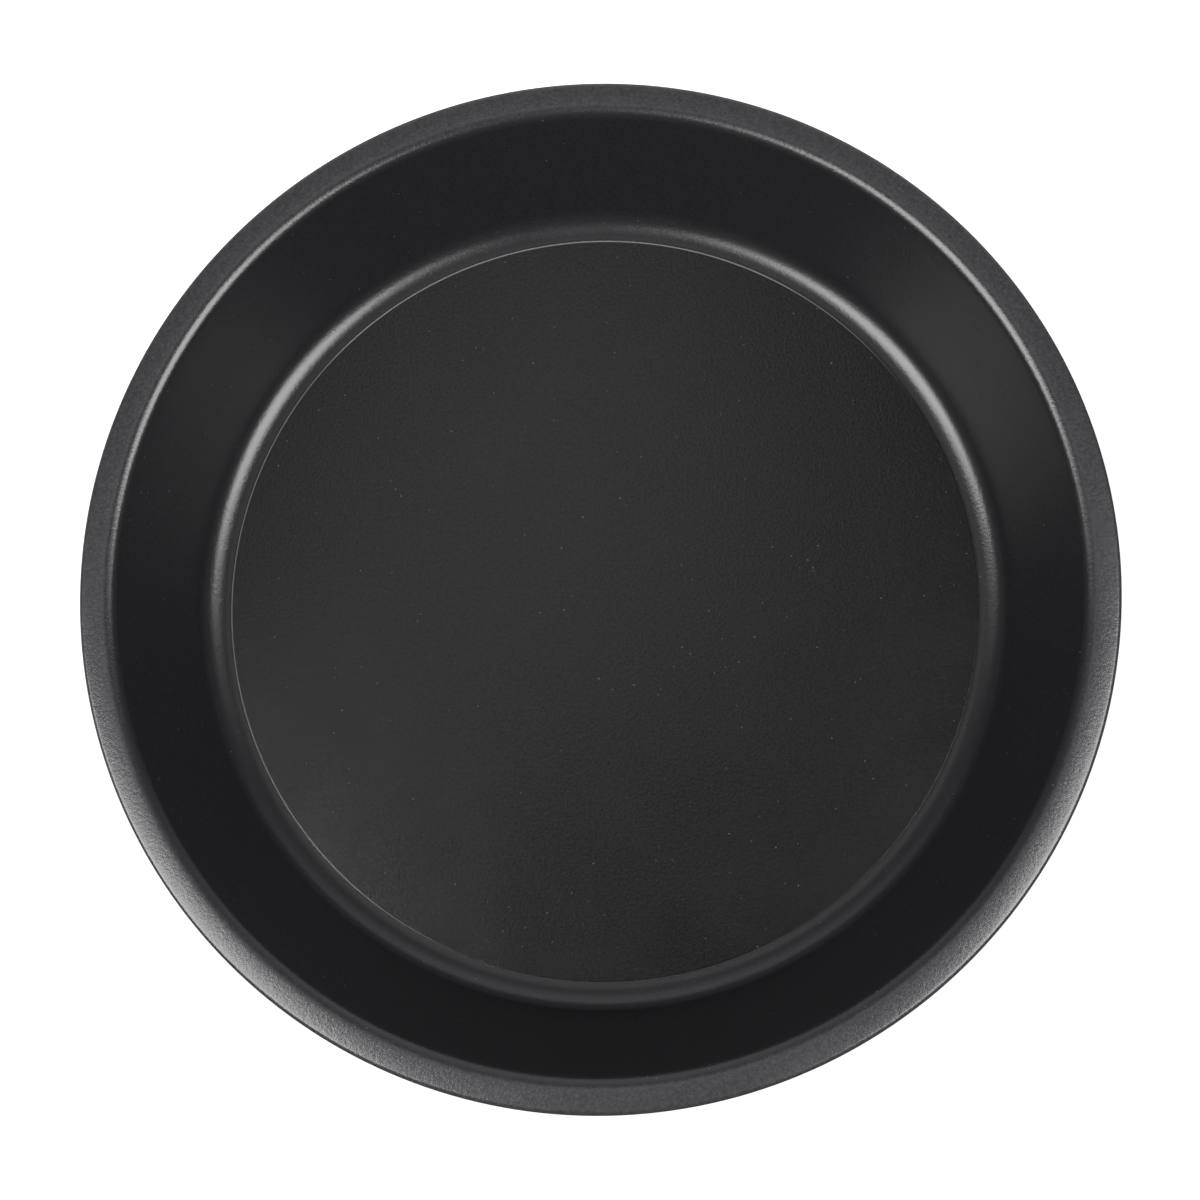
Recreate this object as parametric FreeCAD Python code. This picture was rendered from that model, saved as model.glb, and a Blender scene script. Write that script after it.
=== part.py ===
# Loose-bottomed tart pan, plain sided, pressed from non-stick coated steel sheet.
#
# The pan comes apart into a flared ring, whose foot turns in to a narrow ledge and whose top is
# rolled outwards round a steel wire, and a flat round base that lies loose on the ledge and is
# pushed up through the mouth to free the tart. Millimetres, +Z up, origin at the centre of the
# face that the pan stands on.

import FreeCAD, Part
import math
import os

# Driving dimensions
RIM_DIAMETER = 244.0        # over the rolled rim
OVERALL_HEIGHT = 36.0       # standing face to the top of the rim
BASE_DIAMETER = 186.6       # the loose base
RING_SHEET = 0.6            # sheet thickness of the ring
BASE_SHEET = 0.9            # sheet thickness of the loose base
BASE_EDGE_ROUNDING = 0.15   # the tumbled edge of the loose base
BASE_SIDE_GAP = 0.3         # between the base's edge and the start of the cove
LEDGE_OVERLAP = 8.5         # how far the ledge reaches in under the base

# Bends of the ring, as radii of the coated face that shows from above
COVE_RADIUS = 7.4           # from the ledge up to the wall
SHOULDER_RADIUS = 3.6       # from the wall out to the crown
CROWN_RADIUS = 40.0         # the gently rounded top of the rim, level where the shoulder ends
CROWN_TILT = 6.2            # degrees that the crown slopes down where the curl begins

WIRE_DIAMETER = 1.3         # the steel wire that stiffens the rim
WIRE_CLEARANCE = 0.05       # radial, between the wire and the curl rolled round it
CURL_TURN = 245.0           # degrees that the edge is rolled on past the crown

# Sizes that follow
BASE_RADIUS = BASE_DIAMETER / 2
HALF_SHEET = RING_SHEET / 2
COVE_START_RADIUS = BASE_RADIUS + BASE_SIDE_GAP
CURL_RADIUS = WIRE_DIAMETER / 2 + WIRE_CLEARANCE + RING_SHEET
CURL_CENTRE_RADIUS = RIM_DIAMETER / 2 - CURL_RADIUS

AXIS_FOOT = FreeCAD.Vector(0, 0, 0)
UP = FreeCAD.Vector(0, 0, 1)


def section_point(radius, height):
    """A point of a section drawn in the X-Z plane."""
    return FreeCAD.Vector(radius, 0, height)


def direction(angle):
    """The unit vector at an angle in radians up from the outward radius."""
    return section_point(math.cos(angle), math.sin(angle))


def revolved(edges):
    """The solid that a closed section of edges sweeps round the pan's axis."""
    outline = Part.Wire(Part.__sortEdges__(edges))
    return Part.Face(outline).revolve(AXIS_FOOT, UP, 360.0)


class SheetSection:
    """The section of a bent sheet, traced along the middle of its thickness."""

    def __init__(self, start, thickness):
        self.end = start
        self.heading = 0.0
        self.half = thickness / 2
        self.edges = [self.cut_across()]

    def left(self):
        """The unit vector to the left of the heading."""
        return direction(self.heading + math.pi / 2)

    def cut_across(self):
        """The edge across the sheet where the trace has got to."""
        reach = self.left() * self.half
        return Part.LineSegment(self.end - reach, self.end + reach).toShape()

    def straight(self, length):
        """Carries the sheet straight on."""
        start = self.end
        self.end = start + direction(self.heading) * length
        for reach in (self.left() * self.half, self.left() * -self.half):
            self.edges.append(Part.LineSegment(start + reach, self.end + reach).toShape())

    def bend(self, radius, turn):
        """Bends the sheet by turn radians, to the left where positive, at a mid-sheet radius."""
        side = math.copysign(radius, turn)
        centre = self.end + self.left() * side
        stations = [direction(self.heading + math.pi / 2 + turn * share) for share in (0, 0.5, 1)]
        for reach in (self.half, -self.half):
            points = [centre - station * (side - reach) for station in stations]
            self.edges.append(Part.Arc(*points).toShape())
        self.end = centre - stations[-1] * side
        self.heading += turn

    def solid(self):
        """The sheet swept round the pan's axis, once its section is complete."""
        return revolved(self.edges + [self.cut_across()])


def side_ring():
    """The flared wall with its ledge, cove, crowned rim and the curl round the wire."""
    crown_tilt = math.radians(CROWN_TILT)
    crown_centre = section_point(
        CURL_CENTRE_RADIUS - (CROWN_RADIUS - CURL_RADIUS) * math.sin(crown_tilt),
        OVERALL_HEIGHT - CROWN_RADIUS,
    )
    shoulder_centre = crown_centre + UP * (CROWN_RADIUS - SHOULDER_RADIUS)
    cove_centre = section_point(COVE_START_RADIUS, RING_SHEET + COVE_RADIUS)
    cove_bend = COVE_RADIUS + HALF_SHEET
    shoulder_bend = SHOULDER_RADIUS - HALF_SHEET

    # The wall is the straight that leaves the cove and meets the shoulder without a kink.
    span = shoulder_centre - cove_centre
    wall_length = math.sqrt(span.Length ** 2 - (cove_bend + shoulder_bend) ** 2)
    wall_slope = math.atan2(span.z, span.x) + math.atan2(cove_bend + shoulder_bend, wall_length)

    ledge_inside = BASE_RADIUS - LEDGE_OVERLAP
    sheet = SheetSection(section_point(ledge_inside, HALF_SHEET), RING_SHEET)
    sheet.straight(COVE_START_RADIUS - ledge_inside)
    sheet.bend(cove_bend, wall_slope)
    sheet.straight(wall_length)
    sheet.bend(shoulder_bend, -wall_slope)
    sheet.bend(CROWN_RADIUS - HALF_SHEET, -crown_tilt)
    sheet.bend(CURL_RADIUS - HALF_SHEET, -math.radians(CURL_TURN))
    return sheet.solid()


def curl_centre_height():
    """The height of the circle that the wire lies on."""
    return (
        OVERALL_HEIGHT
        - CROWN_RADIUS
        + (CROWN_RADIUS - CURL_RADIUS) * math.cos(math.radians(CROWN_TILT))
    )


def rim_wire():
    """The round wire inside the curl."""
    return Part.makeTorus(
        CURL_CENTRE_RADIUS, WIRE_DIAMETER / 2, section_point(0, curl_centre_height()), UP
    )


def loose_base():
    """The flat disc that lies on the ledge, with both its edges taken off."""
    disc = Part.makeCylinder(BASE_RADIUS, BASE_SHEET, section_point(0, RING_SHEET), UP)
    rims = [edge for edge in disc.Edges if len(edge.Vertexes) == 1]
    return disc.makeFillet(BASE_EDGE_ROUNDING, rims)


def main():
    """Builds each piece of the pan and writes it to a STEP file of its own."""
    os.makedirs("parts", exist_ok=True)
    for name, make in (("side_ring", side_ring), ("rim_wire", rim_wire), ("loose_base", loose_base)):
        make().exportStep("parts/" + name + ".step")


main()
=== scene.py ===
"""Loose-bottomed tart pan: dark non-stick ring with a rolled rim, loose base and rim wire.

Each piece is turned about the pan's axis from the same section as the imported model. Sections are
drawn in millimetres and turned in metres.
"""

import logging
import math
from dataclasses import dataclass, field
from enum import Enum
from typing import Callable

import bpy
from mathutils import Matrix, Vector


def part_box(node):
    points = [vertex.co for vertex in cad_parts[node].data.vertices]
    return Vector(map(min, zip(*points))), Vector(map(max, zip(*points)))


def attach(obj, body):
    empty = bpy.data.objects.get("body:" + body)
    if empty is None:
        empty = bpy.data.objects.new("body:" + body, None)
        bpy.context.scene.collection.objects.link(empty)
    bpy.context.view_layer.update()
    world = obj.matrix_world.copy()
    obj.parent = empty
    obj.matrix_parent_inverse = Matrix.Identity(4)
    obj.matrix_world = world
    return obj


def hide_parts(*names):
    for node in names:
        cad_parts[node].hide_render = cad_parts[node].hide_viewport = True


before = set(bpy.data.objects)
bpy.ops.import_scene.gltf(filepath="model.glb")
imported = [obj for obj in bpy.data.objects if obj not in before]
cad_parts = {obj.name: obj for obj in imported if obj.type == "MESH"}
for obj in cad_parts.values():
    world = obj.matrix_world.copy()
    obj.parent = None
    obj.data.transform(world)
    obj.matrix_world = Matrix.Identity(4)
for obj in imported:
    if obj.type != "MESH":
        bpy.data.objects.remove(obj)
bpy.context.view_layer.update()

MM = 0.001
FACETS = 256                # facets round every turned piece
DOUBLES = 0.001 * MM        # points closer than this are one
SHARP_EDGE = math.radians(50)

log = logging.getLogger("tart_pan")

Station = tuple[float, float]
Section = list[Station]
Colour = tuple[float, float, float, float]
Socket = bpy.types.NodeSocket


# ---------------------------------------------------------------------------------------------
# Sections


class Face(Enum):
    """The side of a sheet that a line of its section follows."""

    COATED = 1.0
    UNDER = -1.0


class Ends(Enum):
    """What becomes of a turned section's two ends."""

    JOINED = "joined"
    DRAWN_IN = "drawn in"


@dataclass
class Run:
    """A stretch of a sheet's section: a straight, or a bend where it turns.

    Attributes:
        length: length along the middle of the sheet.
        turn: radians turned over the length, to the left where positive.
        steps: how many chords the stretch is drawn with.
    """

    length: float
    turn: float = 0.0
    steps: int = 1


@dataclass
class SheetSection:
    """The section of a bent sheet, followed along the middle of its thickness.

    Attributes:
        start: radius and height where the sheet begins.
        sheet: thickness of the sheet.
        runs: the straights and bends in order.
    """

    start: Station
    sheet: float
    runs: list[Run] = field(default_factory=list)

    def straight(self, length: float, steps: int = 1) -> None:
        """Carries the sheet straight on.

        Args:
            length: how far.
            steps: how many chords it is drawn with.
        """
        self.runs.append(Run(length, 0.0, steps))

    def bend(self, radius: float, turn: float, steps: int) -> None:
        """Bends the sheet.

        Args:
            radius: radius of the bend at the middle of the sheet.
            turn: radians to turn, to the left where positive.
            steps: how many chords the bend is drawn with.
        """
        self.runs.append(Run(abs(turn) * radius, turn, steps))

    def follow(self, face: Face) -> Section:
        """Follows one face of the sheet from end to end.

        Args:
            face: the face to follow.

        Returns:
            The stations along it.
        """
        reach = face.value * self.sheet / 2
        radius, height = self.start
        heading = 0.0
        stations = [(radius, height + reach)]
        for run in self.runs:
            half_turn = run.turn / run.steps / 2
            chord = run.length / run.steps
            if half_turn:
                chord *= math.sin(half_turn) / half_turn
            for _ in range(run.steps):
                heading += half_turn
                radius += chord * math.cos(heading)
                height += chord * math.sin(heading)
                heading += half_turn
                stations.append(
                    (radius - reach * math.sin(heading), height + reach * math.cos(heading))
                )
        return stations

    def outline(self, easing: float) -> Section:
        """The closed outline of the sheet, with the corners of its two cut edges eased.

        Args:
            easing: how far back from the corner the easing starts.

        Returns:
            The stations once round, starting at the first cut edge's upper corner.
        """
        loop = self.follow(Face.COATED) + self.follow(Face.UNDER)[::-1]
        half = len(loop) // 2
        corners = {0, half - 1, half, len(loop) - 1}
        eased: Section = []
        for index, station in enumerate(loop):
            if index not in corners:
                eased.append(station)
                continue
            here = Vector(station)
            for other in (loop[index - 1], loop[(index + 1) % len(loop)]):
                along = Vector(other) - here
                eased.append(tuple(here + along.normalized() * min(easing, along.length / 3)))
        return eased


# ---------------------------------------------------------------------------------------------
# Turning


def turn_section(name: str, section: Section, ends: Ends) -> bpy.types.Object:
    """Makes a body of revolution by extruding a circle from station to station.

    Args:
        name: the piece's name.
        section: radius and height of each station, none of them on the axis.
        ends: whether the last station joins the first, or both are drawn in to the axis.

    Returns:
        The closed piece with its normals outwards and its object at the origin.
    """
    bpy.ops.object.select_all(action="DESELECT")
    radius, height = section[0]
    fill = "TRIFAN" if ends is Ends.DRAWN_IN else "NOTHING"
    bpy.ops.mesh.primitive_circle_add(vertices=FACETS, radius=radius * MM, fill_type=fill)
    piece = bpy.context.active_object
    piece.name = piece.data.name = name
    bpy.ops.object.mode_set(mode="EDIT")
    bpy.ops.mesh.select_mode(type="EDGE")
    bpy.ops.mesh.select_all(action="SELECT")
    bpy.ops.transform.translate(value=(0, 0, height * MM))
    if ends is Ends.DRAWN_IN:
        bpy.ops.mesh.select_all(action="DESELECT")
        bpy.ops.mesh.select_non_manifold()
    for next_radius, next_height in section[1:]:
        bpy.ops.mesh.extrude_edges_move(
            TRANSFORM_OT_translate={"value": (0, 0, (next_height - height) * MM)}
        )
        spread = next_radius / radius
        bpy.ops.transform.resize(value=(spread, spread, 1), center_override=(0, 0, 0))
        radius, height = next_radius, next_height
    if ends is Ends.DRAWN_IN:
        bpy.ops.mesh.extrude_edges_move()
        bpy.ops.mesh.merge(type="CENTER")
    else:
        bpy.ops.mesh.select_all(action="DESELECT")
        bpy.ops.mesh.select_non_manifold()
        bpy.ops.mesh.bridge_edge_loops()
    finish_solid()
    return piece


def finish_solid() -> None:
    """Merges doubles, turns the normals outwards and shades the mesh being edited smooth."""
    bpy.ops.mesh.select_all(action="SELECT")
    bpy.ops.mesh.remove_doubles(threshold=DOUBLES)
    bpy.ops.mesh.normals_make_consistent(inside=False)
    bpy.ops.object.mode_set(mode="OBJECT")
    bpy.ops.object.shade_smooth_by_angle(angle=SHARP_EDGE)


def ramp(value: float, start: float, stop: float) -> float:
    """Rises smoothly from nought at start to one at stop.

    Args:
        value: the value looked up.
        start: where the rise starts, above or below stop.
        stop: where it ends.

    Returns:
        The height of the rise at the value.
    """
    share = min(max((value - start) / (stop - start), 0.0), 1.0)
    return share * share * (3 - 2 * share)


def mark(piece: bpy.types.Object, name: str, rule: Callable[[float, float, float], float]) -> None:
    """Marks every point of a piece with a number that its finish reads.

    Args:
        piece: the piece.
        name: the mark's name.
        rule: gives the number from a point's radius in millimetres, its azimuth in degrees and
            the upward part of its normal.
    """
    attribute = piece.data.attributes.new(name, "FLOAT", "POINT")
    for vertex, value in zip(piece.data.vertices, attribute.data):
        azimuth = math.degrees(math.atan2(vertex.co.y, vertex.co.x))
        value.value = rule(vertex.co.xy.length / MM, azimuth, vertex.normal.z)


def along(azimuth: float, middle: float, full: float, none: float) -> float:
    """Falls smoothly from one to nought on both sides of a middle azimuth, all in degrees.

    Args:
        azimuth: the azimuth looked up.
        middle: the middle azimuth.
        full: how far from the middle it is still one.
        none: how far from the middle it is nought.

    Returns:
        The value at the azimuth.
    """
    away = abs((azimuth - middle + 180) % 360 - 180)
    return 1 - ramp(away, full, none)


# ---------------------------------------------------------------------------------------------
# Finishes


def add_node(tree: bpy.types.NodeTree, kind: str, **settings: object) -> bpy.types.Node:
    """Adds a node to a tree.

    Args:
        tree: the material's or group's tree.
        kind: the node type without its ShaderNode prefix.
        **settings: attributes of the node, or of its sockets where the name is a socket's.

    Returns:
        The node.
    """
    node = tree.nodes.new("ShaderNode" + kind)
    for name, value in settings.items():
        if name in node.inputs:
            node.inputs[name].default_value = value
        else:
            setattr(node, name, value)
    return node


def mix_colours(
    tree: bpy.types.NodeTree, first: Colour | Socket, second: Colour | Socket, share: Socket
) -> Socket:
    """Mixes two colours.

    Args:
        tree: the material's tree.
        first: colour, or the socket that gives it, where share is nought.
        second: colour, or the socket that gives it, where share is one.
        share: the socket that gives the share of the second.

    Returns:
        The socket that gives the mixed colour.
    """
    mix = add_node(tree, "Mix", data_type="RGBA")
    tree.links.new(share, mix.inputs[0])
    for socket, colour in ((mix.inputs[6], first), (mix.inputs[7], second)):
        if isinstance(colour, bpy.types.NodeSocket):
            tree.links.new(colour, socket)
        else:
            socket.default_value = colour
    return mix.outputs[2]


def make_grain_group() -> bpy.types.NodeTree:
    """The fine surface of a baked coating: its peel, its flecks and its slow change of tone.

    Returns:
        The node group, with outputs Height, Grit, Fleck and Tone, each from nought to one.
    """
    tree = bpy.data.node_groups.new("coating_grain", "ShaderNodeTree")
    face = tree.interface
    for name, value in (("Peel scale", 1300.0), ("Grit scale", 1300.0), ("Fleck scale", 1500.0)):
        face.new_socket(name, in_out="INPUT", socket_type="NodeSocketFloat").default_value = value
    for name in ("Height", "Grit", "Fleck", "Tone"):
        face.new_socket(name, in_out="OUTPUT", socket_type="NodeSocketFloat")
    given = tree.nodes.new("NodeGroupInput")
    result = tree.nodes.new("NodeGroupOutput")
    place = add_node(tree, "TexCoord").outputs["Object"]
    join = tree.links.new

    peel = add_node(tree, "TexNoise", Detail=2.0, Roughness=0.5)
    grit = add_node(tree, "TexNoise", Detail=3.0, Roughness=0.9)
    tone = add_node(tree, "TexNoise", Scale=38.0, Detail=4.0, Roughness=0.6)
    fleck = add_node(tree, "TexVoronoi", Randomness=1.0)
    for texture in (peel, grit, tone, fleck):
        join(place, texture.inputs["Vector"])
    join(given.outputs["Peel scale"], peel.inputs["Scale"])
    join(given.outputs["Grit scale"], grit.inputs["Scale"])
    join(given.outputs["Fleck scale"], fleck.inputs["Scale"])

    blend = add_node(tree, "Mix", data_type="FLOAT")
    blend.inputs[0].default_value = 0.6
    join(peel.outputs["Fac"], blend.inputs[2])
    join(grit.outputs["Fac"], blend.inputs[3])
    join(blend.outputs[0], result.inputs["Height"])
    speckle = add_node(tree, "MapRange", **{"From Min": 0.38, "From Max": 0.66})
    join(grit.outputs["Fac"], speckle.inputs["Value"])
    join(speckle.outputs["Result"], result.inputs["Grit"])

    chosen = add_node(tree, "SeparateColor")
    join(fleck.outputs["Color"], chosen.inputs["Color"])
    rare = add_node(tree, "MapRange", **{"From Min": 0.992, "From Max": 1.0})
    join(chosen.outputs["Red"], rare.inputs["Value"])
    dot = add_node(tree, "MapRange", **{"From Min": 0.42, "From Max": 0.12})
    join(fleck.outputs["Distance"], dot.inputs["Value"])
    both = add_node(tree, "Math", operation="MULTIPLY")
    join(rare.outputs["Result"], both.inputs[0])
    join(dot.outputs["Result"], both.inputs[1])
    join(both.outputs["Value"], result.inputs["Fleck"])
    join(tone.outputs["Fac"], result.inputs["Tone"])
    return tree


@dataclass(frozen=True)
class CoatingFinish:
    """A dark satin non-stick coating baked on sheet steel.

    It reads two marks on the piece: one where a paler copy of the coat lies on the rim and the
    outside, painted lighter for the light that the rim catches, and "edge", where the coating has
    drawn back from a cut edge, and where a bare-steel strip paints the highlight along the far side
    of the base's edge.

    Attributes:
        name: the material's name.
        dark: colour of the inner coat at its darkest.
        light: colour of the inner coat at its lightest.
        lit_coat_dark: colour of the paler coat on the rim and the outside, painted light, at its
            darkest.
        lit_coat_light: colour of the paler coat on the rim and the outside, painted light, at its
            lightest.
        edge: colour along cut edges.
        fleck: colour of the mica flecks.
        refraction: index of refraction.
        smooth: lowest roughness.
        rough: highest roughness.
        outer_rough: roughness added where the paler, lit copy of the coat lies, below nought where
            it is glossier.
        peel: depth of the coating's peel, in metres.
    """

    name: str
    dark: Colour = (0.0046, 0.0046, 0.0052, 1.0)
    light: Colour = (0.0068, 0.0068, 0.0076, 1.0)
    lit_coat_dark: Colour = (0.0095, 0.0095, 0.0105, 1.0)
    lit_coat_light: Colour = (0.0195, 0.0195, 0.0215, 1.0)
    # edge: colour of the bare steel along cut edges; on the base it also paints a highlight.
    edge: Colour = (0.20, 0.20, 0.20, 1.0)
    fleck: Colour = (0.035, 0.035, 0.035, 1.0)
    refraction: float = 1.36
    smooth: float = 0.25
    rough: float = 0.28
    outer_rough: float = -0.02
    peel: float = 0.00005

    def material(self, grain_group: bpy.types.NodeTree) -> bpy.types.Material:
        """Builds the material.

        Args:
            grain_group: the group that gives the coating's fine surface.

        Returns:
            The material.
        """
        material = bpy.data.materials.new(self.name)
        material.use_nodes = True
        tree = material.node_tree
        join = tree.links.new
        shader = tree.nodes["Principled BSDF"]
        shader.inputs["IOR"].default_value = self.refraction
        grain = add_node(tree, "Group", node_tree=grain_group)

        inner = mix_colours(tree, self.dark, self.light, grain.outputs["Grit"])
        # Painted light: the coat on the rim and the outside is a paler copy of the inner coat,
        # standing for the light that the rim catches.
        lit_coat = mix_colours(tree, self.lit_coat_dark, self.lit_coat_light, grain.outputs["Grit"])
        lit_coat_mark = add_node(tree, "Attribute", attribute_name="lit_coat").outputs["Fac"]
        coat = mix_colours(tree, inner, lit_coat, lit_coat_mark)
        # Bare steel at the ring's cut edge; on the base, a painted highlight along the far side of
        # its edge.
        bare_edge_and_highlight_mark = add_node(tree, "Attribute", attribute_name="edge").outputs["Fac"]
        bare_edge_and_highlight = mix_colours(tree, coat, self.edge, bare_edge_and_highlight_mark)
        flecked = mix_colours(tree, bare_edge_and_highlight, self.fleck, grain.outputs["Fleck"])
        join(flecked, shader.inputs["Base Color"])

        satin = add_node(
            tree, "MapRange", **{"To Min": self.smooth, "To Max": self.rough,
                                 "From Min": 0.35, "From Max": 0.65}
        )
        join(grain.outputs["Tone"], satin.inputs["Value"])
        shifted = add_node(tree, "Math", operation="MULTIPLY_ADD")
        shifted.inputs[1].default_value = self.outer_rough
        join(lit_coat_mark, shifted.inputs[0])
        join(satin.outputs["Result"], shifted.inputs[2])
        join(shifted.outputs["Value"], shader.inputs["Roughness"])
        join(bare_edge_and_highlight_mark, shader.inputs["Metallic"])

        bump = add_node(tree, "Bump", Strength=1.0, Distance=self.peel)
        join(grain.outputs["Height"], bump.inputs["Height"])
        join(bump.outputs["Normal"], shader.inputs["Normal"])
        return material


@dataclass(frozen=True)
class WireFinish:
    """Drawn steel wire, bright with duller patches.

    Attributes:
        name: the material's name.
        steel: colour of the bright steel.
        dull: colour of the duller patches.
        bright_rough: roughness of the bright steel.
        dull_rough: roughness of the duller patches.
        scratch: depth of the drawn surface, in metres.
    """

    name: str = "rim_wire"
    steel: Colour = (0.42, 0.42, 0.43, 1.0)
    dull: Colour = (0.22, 0.21, 0.20, 1.0)
    bright_rough: float = 0.3
    dull_rough: float = 0.45
    scratch: float = 0.000003

    def material(self, grain_group: bpy.types.NodeTree) -> bpy.types.Material:
        """Builds the material.

        Args:
            grain_group: the group that gives the drawn surface its tone.

        Returns:
            The material.
        """
        material = bpy.data.materials.new(self.name)
        material.use_nodes = True
        tree = material.node_tree
        join = tree.links.new
        shader = tree.nodes["Principled BSDF"]
        shader.inputs["Metallic"].default_value = 1.0
        grain = add_node(tree, "Group", node_tree=grain_group)
        colour = mix_colours(tree, self.dull, self.steel, grain.outputs["Tone"])
        join(colour, shader.inputs["Base Color"])
        rough = add_node(
            tree, "MapRange", **{"To Min": self.dull_rough, "To Max": self.bright_rough}
        )
        join(grain.outputs["Tone"], rough.inputs["Value"])
        join(rough.outputs["Result"], shader.inputs["Roughness"])
        bump = add_node(tree, "Bump", Strength=0.6, Distance=self.scratch)
        join(grain.outputs["Height"], bump.inputs["Height"])
        join(bump.outputs["Normal"], shader.inputs["Normal"])
        return material


def put_on(piece: bpy.types.Object, material: bpy.types.Material) -> None:
    """Gives a piece one material."""
    piece.data.materials.clear()
    piece.data.materials.append(material)


# ---------------------------------------------------------------------------------------------
# The pan's pieces


@dataclass
class PanSizes:
    """The pan's sizes in millimetres and radians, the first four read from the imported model.

    Attributes:
        rim_radius: over the rolled rim.
        height: standing face to the top of the rim.
        base_radius: of the loose base.
        base_top: height of the loose base's top.
        ring_sheet: thickness of the ring's sheet.
        base_side_gap: between the base's edge and the start of the cove.
        ledge_overlap: how far the ledge reaches in under the base.
        cove_radius: from the ledge up to the wall, on the coated face.
        shoulder_radius: from the wall out to the crown, on the coated face.
        crown_radius: of the gently rounded top of the rim, on the coated face.
        crown_tilt: how far the crown slopes down where the curl begins.
        wire_radius: of the rim wire.
        wire_clearance: between the wire and the curl.
        curl_turn: how far the edge is rolled on past the crown.
    """

    rim_radius: float
    height: float
    base_radius: float
    base_top: float
    ring_sheet: float = 0.6
    base_side_gap: float = 0.3
    ledge_overlap: float = 8.5
    cove_radius: float = 7.4
    shoulder_radius: float = 3.6
    crown_radius: float = 40.0
    crown_tilt: float = math.radians(6.2)
    wire_radius: float = 0.65
    wire_clearance: float = 0.05
    curl_turn: float = math.radians(245.0)

    @property
    def curl_radius(self) -> float:
        """Outside radius of the curl."""
        return self.wire_radius + self.wire_clearance + self.ring_sheet

    @property
    def curl_centre(self) -> Station:
        """Where the wire and the curl have their centre."""
        height = (
            self.height
            - self.crown_radius
            + (self.crown_radius - self.curl_radius) * math.cos(self.crown_tilt)
        )
        return self.rim_radius - self.curl_radius, height


def read_sizes() -> PanSizes:
    """Reads the pan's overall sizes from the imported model."""
    ring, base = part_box("side_ring"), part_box("loose_base")
    return PanSizes(
        rim_radius=round(ring[1][0] / MM, 1),
        height=round(ring[1][2] / MM, 1),
        base_radius=round(base[1][0] / MM, 1),
        base_top=round(base[1][2] / MM, 2),
    )


@dataclass
class SideRing:
    """The flared ring: ledge, cove, wall, shoulder, crown and curl, bent from one sheet.

    Attributes:
        sizes: the pan's sizes.
        cut_easing: how far back the corners of the cut edges are eased.
        rim_lit_coat_width: how far in from the rim the paler, lit copy of the coat reaches.
        coat_blend: how far the two coats blend on either side of where they meet.
        bare_width: how far from the ledge's cut edge the steel is bare.
    """

    sizes: PanSizes
    cut_easing: float = 0.12
    rim_lit_coat_width: float = 6.4
    coat_blend: float = 1.0
    bare_width: float = 0.3

    def section(self) -> SheetSection:
        """Draws the sheet's section from the ledge's inner edge to the end of the curl."""
        s = self.sizes
        half_sheet = s.ring_sheet / 2
        curl_out, curl_up = s.curl_centre
        crown = Vector((curl_out - (s.crown_radius - s.curl_radius) * math.sin(s.crown_tilt),
                        s.height - s.crown_radius))
        shoulder = crown + Vector((0, s.crown_radius - s.shoulder_radius))
        cove = Vector((s.base_radius + s.base_side_gap, s.ring_sheet + s.cove_radius))
        cove_bend = s.cove_radius + half_sheet
        shoulder_bend = s.shoulder_radius - half_sheet
        span = shoulder - cove
        wall = math.sqrt(span.length_squared - (cove_bend + shoulder_bend) ** 2)
        slope = math.atan2(span.y, span.x) + math.atan2(cove_bend + shoulder_bend, wall)

        inside = s.base_radius - s.ledge_overlap
        sheet = SheetSection((inside, half_sheet), s.ring_sheet)
        sheet.straight(cove.x - inside, 4)
        sheet.bend(cove_bend, slope, 20)
        sheet.straight(wall, 8)
        sheet.bend(shoulder_bend, -slope, 16)
        sheet.bend(s.crown_radius - half_sheet, -s.crown_tilt, 8)
        sheet.bend(s.curl_radius - half_sheet, -s.curl_turn, 36)
        return sheet

    def build(self) -> bpy.types.Object:
        """Turns the ring."""
        ring = turn_section("pan_side_ring", self.section().outline(self.cut_easing), Ends.JOINED)
        mouth = self.sizes.rim_radius - self.rim_lit_coat_width
        # Painted light: the paler, lit copy of the coat on the rim and the outside.
        mark(ring, "lit_coat", lambda radius, azimuth, up: max(
            ramp(radius, mouth - self.coat_blend, mouth + self.coat_blend),
            ramp(-up, 0.0, 0.2)))
        inside = self.sizes.base_radius - self.sizes.ledge_overlap
        mark(ring, "edge", lambda radius, azimuth, up:
             ramp(radius, inside + self.bare_width, inside))
        return ring


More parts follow.
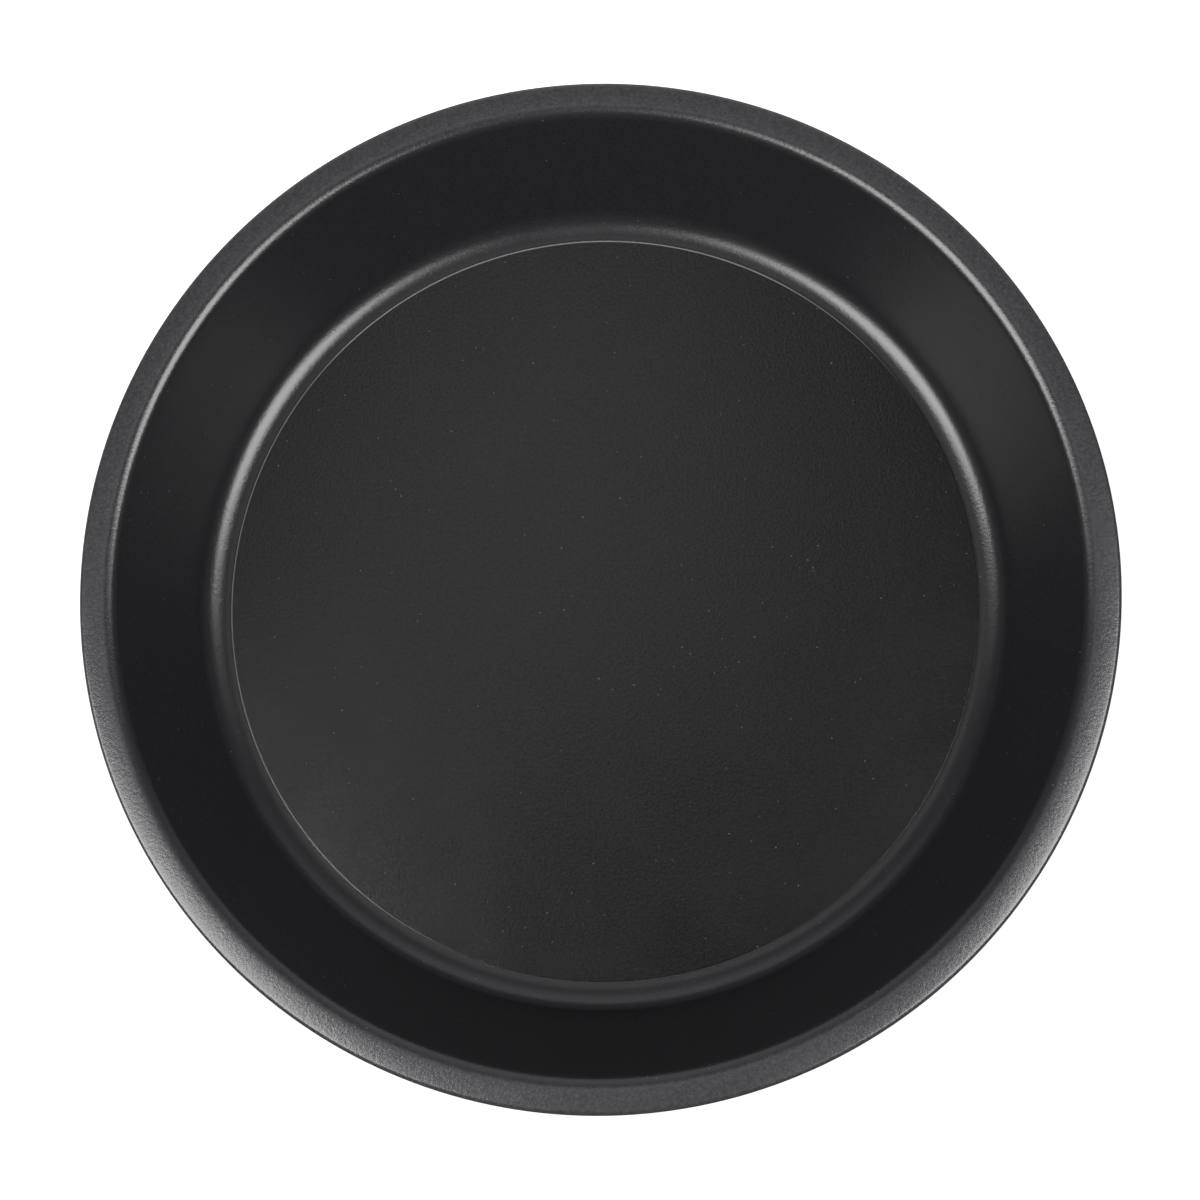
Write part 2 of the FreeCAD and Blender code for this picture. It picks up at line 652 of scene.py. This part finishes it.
@dataclass
class LooseBase:
    """The flat disc that lies on the ledge.

    Attributes:
        sizes: the pan's sizes.
        edge_rounding: radius of the tumbled edge.
        highlight_strip_width: width of the bare-steel strip along the edge that paints the edge's
            highlight.
        highlight_strip_full: how far in from the edge the painted highlight is at its full.
        highlight_side: azimuth of the middle of the side where the painted highlight is strongest,
            in degrees.
        dim_highlight_side: azimuth of the middle of the longer side where it is fainter, in degrees.
        dim_highlight_share: its strength there, as a share of that on the strongest side.
        rings: how many rings each flat face is drawn with.
    """

    sizes: PanSizes
    edge_rounding: float = 0.15
    highlight_strip_width: float = 0.5
    highlight_strip_full: float = 0.25
    highlight_side: float = 98.0
    dim_highlight_side: float = 140.0
    dim_highlight_share: float = 0.3
    rings: int = 12

    def section(self) -> Section:
        """Draws the disc's section from near the middle of its top to that of its underside."""
        s = self.sizes
        middle = (s.base_top + s.ring_sheet) / 2
        flat_half = (s.base_top - s.ring_sheet) / 2 - self.edge_rounding
        inner = s.base_radius - self.highlight_strip_width
        across = [inner * (step + 1) / self.rings for step in range(self.rings)]
        across += [inner + self.highlight_strip_width * share for share in (0.2, 0.4, 0.6)]
        section = [(radius, s.base_top) for radius in across]
        for degrees in range(90, -91, -15):
            angle = math.radians(degrees)
            section.append((s.base_radius - self.edge_rounding * (1 - math.cos(angle)),
                            middle + math.copysign(flat_half, degrees)
                            + self.edge_rounding * math.sin(angle)))
        section += [(radius, s.ring_sheet) for radius in reversed(across)]
        return section

    def build(self) -> bpy.types.Object:
        """Turns the disc."""
        base = turn_section("pan_loose_base", self.section(), Ends.DRAWN_IN)
        rim = self.sizes.base_radius
        # The paler, lit copy of the coat, laid on the base's underside.
        mark(base, "lit_coat", lambda radius, azimuth, up: ramp(-up, 0.2, 0.6))
        # Painted highlight: bare steel laid only along the far and left side of the edge, where the
        # edge catches the light.
        mark(base, "edge", lambda radius, azimuth, up:
             ramp(radius, rim - self.highlight_strip_width, rim - self.highlight_strip_full) * ramp(up, 0.9, 1.0)
             * max(along(azimuth, self.highlight_side, 25, 50),
                   self.dim_highlight_share * along(azimuth, self.dim_highlight_side, 80, 110)))
        return base


@dataclass
class RimWire:
    """The wire inside the curl, bent to a hoop whose ends butt together.

    Attributes:
        sizes: the pan's sizes.
        butt_gap: the gap between the hoop's two ends.
        section_sides: how many sides the wire's round section is drawn with.
    """

    sizes: PanSizes
    butt_gap: float = 0.4
    section_sides: int = 24

    def build(self) -> bpy.types.Object:
        """Spins the wire's round section about the axis, short of a full turn."""
        out, up = self.sizes.curl_centre
        bpy.ops.object.select_all(action="DESELECT")
        bpy.ops.mesh.primitive_circle_add(
            vertices=self.section_sides, radius=self.sizes.wire_radius * MM,
            rotation=(math.pi / 2, 0, 0), location=(out * MM, 0, up * MM), fill_type="NGON",
        )
        piece = bpy.context.active_object
        piece.name = piece.data.name = "pan_rim_wire"
        bpy.ops.object.transform_apply(location=True, rotation=True, scale=True)
        bpy.ops.object.mode_set(mode="EDIT")
        bpy.ops.mesh.select_all(action="SELECT")
        bpy.ops.mesh.spin(
            steps=FACETS, angle=2 * math.pi - self.butt_gap / out, center=(0, 0, 0), axis=(0, 0, 1)
        )
        finish_solid()
        return piece


# ---------------------------------------------------------------------------------------------
# The studio


@dataclass(frozen=True)
class Softbox:
    """A plain square-cornered soft light aimed at the pan.

    Attributes:
        name: the light's name.
        azimuth: degrees round from +X.
        elevation: degrees up.
        distance: from the pan, in metres.
        width: across, in metres.
        height: up its face, in metres.
        lean: degrees that its face is turned in its own plane.
        radiance: how bright its face is.
    """

    name: str
    azimuth: float
    elevation: float
    distance: float
    width: float
    height: float
    lean: float
    radiance: float

    def place(self, target: Vector) -> None:
        """Adds the light, facing the target.

        Args:
            target: the point it faces.
        """
        light = bpy.data.lights.new(self.name, "AREA")
        light.shape = "RECTANGLE"
        light.size, light.size_y = self.width, self.height
        light.energy = self.radiance * math.pi * self.width * self.height
        lamp = bpy.data.objects.new(self.name, light)
        bpy.context.scene.collection.objects.link(lamp)
        lamp.visible_camera = False
        lamp.matrix_world = facing(
            target + polar(self.azimuth, self.elevation) * self.distance, target
        ) @ Matrix.Rotation(math.radians(self.lean), 4, "Z")


def polar(azimuth: float, elevation: float) -> Vector:
    """The unit vector at an azimuth and an elevation in degrees."""
    turn, rise = math.radians(azimuth), math.radians(elevation)
    return Vector((math.cos(rise) * math.cos(turn), math.cos(rise) * math.sin(turn), math.sin(rise)))


def facing(place: Vector, target: Vector, up: Vector = Vector((0, 0, 1))) -> Matrix:
    """The pose of a lamp or camera at a place, looking at a target.

    Args:
        place: where it stands.
        target: what it looks at.
        up: the direction that comes out upwards in its view.

    Returns:
        The pose as a matrix.
    """
    back = (place - target).normalized()
    right = up.cross(back).normalized()
    above = back.cross(right)
    pose = Matrix((right, above, back)).transposed().to_4x4()
    pose.translation = place
    return pose


@dataclass(frozen=True)
class Glow:
    """A soft round patch of light in the room's fill.

    Attributes:
        azimuth: degrees round from +X.
        elevation: degrees up.
        core: degrees from its middle out to which it is at its full.
        edge: degrees from its middle at which it ends.
        radiance: how bright its core is.
    """

    azimuth: float
    elevation: float
    core: float
    edge: float
    radiance: float

    def add(self, tree: bpy.types.NodeTree, way: Socket, fill: Socket) -> Socket:
        """Adds the patch to the fill.

        Args:
            tree: the world's tree.
            way: the direction looked in.
            fill: the fill so far.

        Returns:
            The fill with the patch in it.
        """
        toward = add_node(tree, "VectorMath", operation="DOT_PRODUCT")
        tree.links.new(way, toward.inputs[0])
        toward.inputs[1].default_value = polar(self.azimuth, self.elevation)
        patch = add_node(tree, "MapRange", interpolation_type="SMOOTHSTEP", **{
            "From Min": math.cos(math.radians(self.edge)),
            "From Max": math.cos(math.radians(self.core)),
            "To Max": self.radiance,
        })
        tree.links.new(toward.outputs["Value"], patch.inputs["Value"])
        total = add_node(tree, "Math", operation="ADD")
        tree.links.new(patch.outputs["Result"], total.inputs[0])
        tree.links.new(fill, total.inputs[1])
        return total.outputs["Value"]


@dataclass
class Studio:
    """Floor, lights and camera.

    Attributes:
        camera_azimuth: degrees round from +X.
        camera_elevation: degrees up.
        camera_distance: from its aim, in metres.
        camera_aim: the point it looks at.
        lens: focal length in millimetres.
        floor_half: half the floor's side, in metres.
        floor_shaded_near: the floor's colour on the near side of the pan, painted dark as shade.
        floor_lit_far: its colour on the far side, painted pale as the light from behind.
        floor_shade: azimuth along which it turns from the one to the other.
        floor_start: how far along that azimuth the change starts, in metres.
        floor_stop: how far along it the change ends.
        floor_own_light: light that the floor gives to the camera only.
        room_light: the room's even fill.
        room_tint: colour of the fill.
        glows: the patches in the fill.
        softboxes: the lights.
        light_aim: height of the point that the lights face, in metres.
    """

    camera_azimuth: float = 289.0
    camera_elevation: float = 81.5
    camera_distance: float = 0.5
    camera_aim: tuple[float, float, float] = (0.0012, -0.0041, 0.034)
    lens: float = 64.1
    floor_half: float = 3.0
    floor_shaded_near: float = 0.02
    floor_lit_far: float = 0.31
    floor_shade: float = 118.0
    floor_start: float = -0.04
    floor_stop: float = 0.19
    floor_own_light: float = 1.0
    light_aim: float = 0.02
    room_light: float = 0.11
    room_tint: Colour = (1.0, 1.0, 1.03, 1.0)
    glows: tuple[Glow, ...] = (
        Glow(112.0, 78.5, 2.5, 12.0, 1.45),
        Glow(98.0, 69.0, 2.0, 11.0, 0.6),
        Glow(165.0, 78.0, 1.0, 7.0, 0.65),
        Glow(90.0, 0.0, 20.0, 66.0, 1.5),
    )
    softboxes: tuple[Softbox, ...] = (
        Softbox("left_softbox", 206.0, 47.0, 1.2, 0.62, 0.90, -27.0, 20.5),
        Softbox("right_softbox", 337.0, 48.0, 1.2, 0.72, 0.78, 27.0, 20.0),
    )

    def build(self) -> None:
        """Sets everything up."""
        self.lay_floor()
        self.hang_lights()
        self.stand_camera()

    def lay_floor(self) -> None:
        """Lays the floor under the pan: white to the camera by its own light, and painted dark on
        the near side and pale on the far side as shade and back light.
        """
        bpy.ops.object.select_all(action="DESELECT")
        bpy.ops.mesh.primitive_plane_add(size=2 * self.floor_half, location=(0, 0, 0))
        floor = bpy.context.active_object
        floor.name = "studio_floor"
        material = bpy.data.materials.new("studio_floor")
        material.use_nodes = True
        shader = material.node_tree.nodes["Principled BSDF"]
        shader.inputs["Roughness"].default_value = 0.9
        join = material.node_tree.links.new
        across = add_node(material.node_tree, "VectorMath", operation="DOT_PRODUCT")
        across.inputs[1].default_value = polar(self.floor_shade, 0.0)
        join(add_node(material.node_tree, "TexCoord").outputs["Object"], across.inputs[0])
        # Painted shade and light: the floor's colour darkens towards the near side and pales towards
        # the far side.
        shade = add_node(material.node_tree, "MapRange", interpolation_type="SMOOTHSTEP", **{
            "From Min": self.floor_start,
            "From Max": self.floor_stop,
            "To Min": self.floor_shaded_near,
            "To Max": self.floor_lit_far,
        })
        join(across.outputs["Value"], shade.inputs["Value"])
        join(shade.outputs["Result"], shader.inputs["Base Color"])
        shader.inputs["Emission Color"].default_value = (1.0, 1.0, 1.0, 1.0)
        seen = add_node(material.node_tree, "Math", operation="MULTIPLY")
        seen.inputs[1].default_value = self.floor_own_light
        join(add_node(material.node_tree, "LightPath").outputs["Is Camera Ray"], seen.inputs[0])
        join(seen.outputs["Value"], shader.inputs["Emission Strength"])
        put_on(floor, material)

    def hang_lights(self) -> None:
        """Hangs the softboxes and sets the room's faint fill."""
        target = Vector((0, 0, self.light_aim))
        for softbox in self.softboxes:
            softbox.place(target)
        world = bpy.data.worlds.new("studio")
        world.use_nodes = True
        tree = world.node_tree
        join = tree.links.new
        way = add_node(tree, "TexCoord").outputs["Generated"]
        fill = add_node(tree, "Value")
        fill.outputs["Value"].default_value = self.room_light
        light = fill.outputs["Value"]
        for glow in self.glows:
            light = glow.add(tree, way, light)
        join(light, tree.nodes["Background"].inputs["Strength"])
        tree.nodes["Background"].inputs["Color"].default_value = self.room_tint
        bpy.context.scene.world = world

    def stand_camera(self) -> None:
        """Stands the camera over the pan."""
        aim = Vector(self.camera_aim)
        lens = bpy.data.cameras.new("camera")
        lens.lens = self.lens
        lens.sensor_width = 36.0
        camera = bpy.data.objects.new("camera", lens)
        bpy.context.scene.collection.objects.link(camera)
        place = aim + polar(self.camera_azimuth, self.camera_elevation) * self.camera_distance
        camera.matrix_world = facing(place, aim, Vector((0, 1, 0)))
        bpy.context.scene.camera = camera
        view = bpy.context.scene.view_settings
        view.view_transform = "Standard"
        view.look = "None"


def main() -> None:
    """Builds the pan's pieces in order, dresses them and sets up the studio."""
    logging.basicConfig(level=logging.INFO, format="%(name)s: %(message)s")
    sizes = read_sizes()
    grain = make_grain_group()
    coat = CoatingFinish("ring_coating").material(grain)
    base_coat = CoatingFinish("base_coating", dark=(0.0001, 0.0001, 0.0001, 1.0),
                              light=(0.0030, 0.0030, 0.0032, 1.0),
                              smooth=0.20, rough=0.23).material(grain)
    wire = WireFinish().material(grain)
    for part, material, body, node, slot in (
        (SideRing(sizes), coat, "ring", "side_ring", "ring_coating"),
        (RimWire(sizes), wire, "ring", "rim_wire", "rim_wire"),
        (LooseBase(sizes), base_coat, "base", "loose_base", "base_coating"),
    ):
        piece = part.build()
        put_on(piece, material)
        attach(piece, body)
        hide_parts(node)
        log.info("%s: %d faces on %s", piece.name, len(piece.data.polygons), body)
    Studio().build()


if __name__ == "__main__":
    main()
